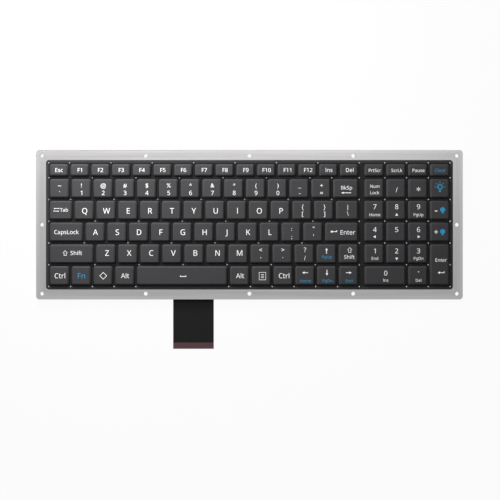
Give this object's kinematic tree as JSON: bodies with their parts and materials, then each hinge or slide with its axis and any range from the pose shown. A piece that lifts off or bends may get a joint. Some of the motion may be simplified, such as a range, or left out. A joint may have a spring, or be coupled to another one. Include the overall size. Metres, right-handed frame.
{
  "type": "panel mount keyboard",
  "caption": "Thin full-size keyboard with number pad, set in a metal plate with screw holes for building into a panel, with a flat ribbon tail.",
  "frame": {"origin": "middle of the screw pattern on the mounting plate's rear face", "axes": "+X to the right along the space bar's row, +Y to the function row, +Z out of the key tops"},
  "size_m": [0.374, 0.1748, 0.0086],
  "materials": {
    "plate": "brushed",
    "bezel": "satin",
    "rivets": "satin",
    "keycaps": "matte",
    "dome_rubber": "matte",
    "lamps": "gloss",
    "board": "satin",
    "pan": "satin",
    "tail": "satin",
    "stiffener": "satin"
  },
  "bodies": {
    "panel": {"backlight_leds": "lamps", "circuit_board": "board", "dome_sheet": "dome_rubber", "function_row_keys": "keycaps", "grid_rivets": "rivets", "key_bezel": "bezel", "mounting_plate": "plate", "number_pad_keys": "keycaps", "rear_pan": "pan", "ribbon_tail": "tail", "symbol_and_cursor_keys": "keycaps", "tail_stiffener": "stiffener"},
    "key_0": {"key_0": "keycaps"},
    "key_1": {"key_1": "keycaps"},
    "key_2": {"key_2": "keycaps"},
    "key_3": {"key_3": "keycaps"},
    "key_4": {"key_4": "keycaps"},
    "key_5": {"key_5": "keycaps"},
    "key_6": {"key_6": "keycaps"},
    "key_7": {"key_7": "keycaps"},
    "key_8": {"key_8": "keycaps"},
    "key_9": {"key_9": "keycaps"},
    "key_a": {"key_a": "keycaps"},
    "key_b": {"key_b": "keycaps"},
    "key_backspace": {"key_backspace": "keycaps"},
    "key_c": {"key_c": "keycaps"},
    "key_caps_lock": {"key_caps_lock": "keycaps"},
    "key_d": {"key_d": "keycaps"},
    "key_e": {"key_e": "keycaps"},
    "key_enter": {"key_enter": "keycaps"},
    "key_escape": {"key_escape": "keycaps"},
    "key_f": {"key_f": "keycaps"},
    "key_function": {"key_function": "keycaps"},
    "key_g": {"key_g": "keycaps"},
    "key_h": {"key_h": "keycaps"},
    "key_i": {"key_i": "keycaps"},
    "key_j": {"key_j": "keycaps"},
    "key_k": {"key_k": "keycaps"},
    "key_l": {"key_l": "keycaps"},
    "key_left_alt": {"key_left_alt": "keycaps"},
    "key_left_control": {"key_left_control": "keycaps"},
    "key_left_shift": {"key_left_shift": "keycaps"},
    "key_m": {"key_m": "keycaps"},
    "key_n": {"key_n": "keycaps"},
    "key_o": {"key_o": "keycaps"},
    "key_p": {"key_p": "keycaps"},
    "key_q": {"key_q": "keycaps"},
    "key_r": {"key_r": "keycaps"},
    "key_right_shift": {"key_right_shift": "keycaps"},
    "key_s": {"key_s": "keycaps"},
    "key_space": {"key_space": "keycaps"},
    "key_t": {"key_t": "keycaps"},
    "key_tab": {"key_tab": "keycaps"},
    "key_u": {"key_u": "keycaps"},
    "key_v": {"key_v": "keycaps"},
    "key_w": {"key_w": "keycaps"},
    "key_x": {"key_x": "keycaps"},
    "key_y": {"key_y": "keycaps"},
    "key_z": {"key_z": "keycaps"}
  },
  "joints": [
    {"name": "key_0_press", "type": "slide", "parent": "panel", "child": "key_0", "axis": [0, 0, -1], "range_m": [0, 0.0016], "stiffness_N_per_m": 400, "springref_m": -0.0005, "deforming": ["dome_sheet"]},
    {"name": "key_1_press", "type": "slide", "parent": "panel", "child": "key_1", "axis": [0, 0, -1], "range_m": [0, 0.0016], "stiffness_N_per_m": 400, "springref_m": -0.0005, "deforming": ["dome_sheet"]},
    {"name": "key_2_press", "type": "slide", "parent": "panel", "child": "key_2", "axis": [0, 0, -1], "range_m": [0, 0.0016], "stiffness_N_per_m": 400, "springref_m": -0.0005, "deforming": ["dome_sheet"]},
    {"name": "key_3_press", "type": "slide", "parent": "panel", "child": "key_3", "axis": [0, 0, -1], "range_m": [0, 0.0016], "stiffness_N_per_m": 400, "springref_m": -0.0005, "deforming": ["dome_sheet"]},
    {"name": "key_4_press", "type": "slide", "parent": "panel", "child": "key_4", "axis": [0, 0, -1], "range_m": [0, 0.0016], "stiffness_N_per_m": 400, "springref_m": -0.0005, "deforming": ["dome_sheet"]},
    {"name": "key_5_press", "type": "slide", "parent": "panel", "child": "key_5", "axis": [0, 0, -1], "range_m": [0, 0.0016], "stiffness_N_per_m": 400, "springref_m": -0.0005, "deforming": ["dome_sheet"]},
    {"name": "key_6_press", "type": "slide", "parent": "panel", "child": "key_6", "axis": [0, 0, -1], "range_m": [0, 0.0016], "stiffness_N_per_m": 400, "springref_m": -0.0005, "deforming": ["dome_sheet"]},
    {"name": "key_7_press", "type": "slide", "parent": "panel", "child": "key_7", "axis": [0, 0, -1], "range_m": [0, 0.0016], "stiffness_N_per_m": 400, "springref_m": -0.0005, "deforming": ["dome_sheet"]},
    {"name": "key_8_press", "type": "slide", "parent": "panel", "child": "key_8", "axis": [0, 0, -1], "range_m": [0, 0.0016], "stiffness_N_per_m": 400, "springref_m": -0.0005, "deforming": ["dome_sheet"]},
    {"name": "key_9_press", "type": "slide", "parent": "panel", "child": "key_9", "axis": [0, 0, -1], "range_m": [0, 0.0016], "stiffness_N_per_m": 400, "springref_m": -0.0005, "deforming": ["dome_sheet"]},
    {"name": "key_a_press", "type": "slide", "parent": "panel", "child": "key_a", "axis": [0, 0, -1], "range_m": [0, 0.0016], "stiffness_N_per_m": 400, "springref_m": -0.0005, "deforming": ["dome_sheet"]},
    {"name": "key_b_press", "type": "slide", "parent": "panel", "child": "key_b", "axis": [0, 0, -1], "range_m": [0, 0.0016], "stiffness_N_per_m": 400, "springref_m": -0.0005, "deforming": ["dome_sheet"]},
    {"name": "key_backspace_press", "type": "slide", "parent": "panel", "child": "key_backspace", "axis": [0, 0, -1], "range_m": [0, 0.0016], "stiffness_N_per_m": 400, "springref_m": -0.0005, "deforming": ["dome_sheet"]},
    {"name": "key_c_press", "type": "slide", "parent": "panel", "child": "key_c", "axis": [0, 0, -1], "range_m": [0, 0.0016], "stiffness_N_per_m": 400, "springref_m": -0.0005, "deforming": ["dome_sheet"]},
    {"name": "key_caps_lock_press", "type": "slide", "parent": "panel", "child": "key_caps_lock", "axis": [0, 0, -1], "range_m": [0, 0.0016], "stiffness_N_per_m": 400, "springref_m": -0.0005, "deforming": ["dome_sheet"]},
    {"name": "key_d_press", "type": "slide", "parent": "panel", "child": "key_d", "axis": [0, 0, -1], "range_m": [0, 0.0016], "stiffness_N_per_m": 400, "springref_m": -0.0005, "deforming": ["dome_sheet"]},
    {"name": "key_e_press", "type": "slide", "parent": "panel", "child": "key_e", "axis": [0, 0, -1], "range_m": [0, 0.0016], "stiffness_N_per_m": 400, "springref_m": -0.0005, "deforming": ["dome_sheet"]},
    {"name": "key_enter_press", "type": "slide", "parent": "panel", "child": "key_enter", "axis": [0, 0, -1], "range_m": [0, 0.0016], "stiffness_N_per_m": 400, "springref_m": -0.0005, "deforming": ["dome_sheet"]},
    {"name": "key_escape_press", "type": "slide", "parent": "panel", "child": "key_escape", "axis": [0, 0, -1], "range_m": [0, 0.0016], "stiffness_N_per_m": 400, "springref_m": -0.0005, "deforming": ["dome_sheet"]},
    {"name": "key_f_press", "type": "slide", "parent": "panel", "child": "key_f", "axis": [0, 0, -1], "range_m": [0, 0.0016], "stiffness_N_per_m": 400, "springref_m": -0.0005, "deforming": ["dome_sheet"]},
    {"name": "key_function_press", "type": "slide", "parent": "panel", "child": "key_function", "axis": [0, 0, -1], "range_m": [0, 0.0016], "stiffness_N_per_m": 400, "springref_m": -0.0005, "deforming": ["dome_sheet"]},
    {"name": "key_g_press", "type": "slide", "parent": "panel", "child": "key_g", "axis": [0, 0, -1], "range_m": [0, 0.0016], "stiffness_N_per_m": 400, "springref_m": -0.0005, "deforming": ["dome_sheet"]},
    {"name": "key_h_press", "type": "slide", "parent": "panel", "child": "key_h", "axis": [0, 0, -1], "range_m": [0, 0.0016], "stiffness_N_per_m": 400, "springref_m": -0.0005, "deforming": ["dome_sheet"]},
    {"name": "key_i_press", "type": "slide", "parent": "panel", "child": "key_i", "axis": [0, 0, -1], "range_m": [0, 0.0016], "stiffness_N_per_m": 400, "springref_m": -0.0005, "deforming": ["dome_sheet"]},
    {"name": "key_j_press", "type": "slide", "parent": "panel", "child": "key_j", "axis": [0, 0, -1], "range_m": [0, 0.0016], "stiffness_N_per_m": 400, "springref_m": -0.0005, "deforming": ["dome_sheet"]},
    {"name": "key_k_press", "type": "slide", "parent": "panel", "child": "key_k", "axis": [0, 0, -1], "range_m": [0, 0.0016], "stiffness_N_per_m": 400, "springref_m": -0.0005, "deforming": ["dome_sheet"]},
    {"name": "key_l_press", "type": "slide", "parent": "panel", "child": "key_l", "axis": [0, 0, -1], "range_m": [0, 0.0016], "stiffness_N_per_m": 400, "springref_m": -0.0005, "deforming": ["dome_sheet"]},
    {"name": "key_left_alt_press", "type": "slide", "parent": "panel", "child": "key_left_alt", "axis": [0, 0, -1], "range_m": [0, 0.0016], "stiffness_N_per_m": 400, "springref_m": -0.0005, "deforming": ["dome_sheet"]},
    {"name": "key_left_control_press", "type": "slide", "parent": "panel", "child": "key_left_control", "axis": [0, 0, -1], "range_m": [0, 0.0016], "stiffness_N_per_m": 400, "springref_m": -0.0005, "deforming": ["dome_sheet"]},
    {"name": "key_left_shift_press", "type": "slide", "parent": "panel", "child": "key_left_shift", "axis": [0, 0, -1], "range_m": [0, 0.0016], "stiffness_N_per_m": 400, "springref_m": -0.0005, "deforming": ["dome_sheet"]},
    {"name": "key_m_press", "type": "slide", "parent": "panel", "child": "key_m", "axis": [0, 0, -1], "range_m": [0, 0.0016], "stiffness_N_per_m": 400, "springref_m": -0.0005, "deforming": ["dome_sheet"]},
    {"name": "key_n_press", "type": "slide", "parent": "panel", "child": "key_n", "axis": [0, 0, -1], "range_m": [0, 0.0016], "stiffness_N_per_m": 400, "springref_m": -0.0005, "deforming": ["dome_sheet"]},
    {"name": "key_o_press", "type": "slide", "parent": "panel", "child": "key_o", "axis": [0, 0, -1], "range_m": [0, 0.0016], "stiffness_N_per_m": 400, "springref_m": -0.0005, "deforming": ["dome_sheet"]},
    {"name": "key_p_press", "type": "slide", "parent": "panel", "child": "key_p", "axis": [0, 0, -1], "range_m": [0, 0.0016], "stiffness_N_per_m": 400, "springref_m": -0.0005, "deforming": ["dome_sheet"]},
    {"name": "key_q_press", "type": "slide", "parent": "panel", "child": "key_q", "axis": [0, 0, -1], "range_m": [0, 0.0016], "stiffness_N_per_m": 400, "springref_m": -0.0005, "deforming": ["dome_sheet"]},
    {"name": "key_r_press", "type": "slide", "parent": "panel", "child": "key_r", "axis": [0, 0, -1], "range_m": [0, 0.0016], "stiffness_N_per_m": 400, "springref_m": -0.0005, "deforming": ["dome_sheet"]},
    {"name": "key_right_shift_press", "type": "slide", "parent": "panel", "child": "key_right_shift", "axis": [0, 0, -1], "range_m": [0, 0.0016], "stiffness_N_per_m": 400, "springref_m": -0.0005, "deforming": ["dome_sheet"]},
    {"name": "key_s_press", "type": "slide", "parent": "panel", "child": "key_s", "axis": [0, 0, -1], "range_m": [0, 0.0016], "stiffness_N_per_m": 400, "springref_m": -0.0005, "deforming": ["dome_sheet"]},
    {"name": "key_space_press", "type": "slide", "parent": "panel", "child": "key_space", "axis": [0, 0, -1], "range_m": [0, 0.0016], "stiffness_N_per_m": 400, "springref_m": -0.0005, "deforming": ["dome_sheet"]},
    {"name": "key_t_press", "type": "slide", "parent": "panel", "child": "key_t", "axis": [0, 0, -1], "range_m": [0, 0.0016], "stiffness_N_per_m": 400, "springref_m": -0.0005, "deforming": ["dome_sheet"]},
    {"name": "key_tab_press", "type": "slide", "parent": "panel", "child": "key_tab", "axis": [0, 0, -1], "range_m": [0, 0.0016], "stiffness_N_per_m": 400, "springref_m": -0.0005, "deforming": ["dome_sheet"]},
    {"name": "key_u_press", "type": "slide", "parent": "panel", "child": "key_u", "axis": [0, 0, -1], "range_m": [0, 0.0016], "stiffness_N_per_m": 400, "springref_m": -0.0005, "deforming": ["dome_sheet"]},
    {"name": "key_v_press", "type": "slide", "parent": "panel", "child": "key_v", "axis": [0, 0, -1], "range_m": [0, 0.0016], "stiffness_N_per_m": 400, "springref_m": -0.0005, "deforming": ["dome_sheet"]},
    {"name": "key_w_press", "type": "slide", "parent": "panel", "child": "key_w", "axis": [0, 0, -1], "range_m": [0, 0.0016], "stiffness_N_per_m": 400, "springref_m": -0.0005, "deforming": ["dome_sheet"]},
    {"name": "key_x_press", "type": "slide", "parent": "panel", "child": "key_x", "axis": [0, 0, -1], "range_m": [0, 0.0016], "stiffness_N_per_m": 400, "springref_m": -0.0005, "deforming": ["dome_sheet"]},
    {"name": "key_y_press", "type": "slide", "parent": "panel", "child": "key_y", "axis": [0, 0, -1], "range_m": [0, 0.0016], "stiffness_N_per_m": 400, "springref_m": -0.0005, "deforming": ["dome_sheet"]},
    {"name": "key_z_press", "type": "slide", "parent": "panel", "child": "key_z", "axis": [0, 0, -1], "range_m": [0, 0.0016], "stiffness_N_per_m": 400, "springref_m": -0.0005, "deforming": ["dome_sheet"]}
  ]
}
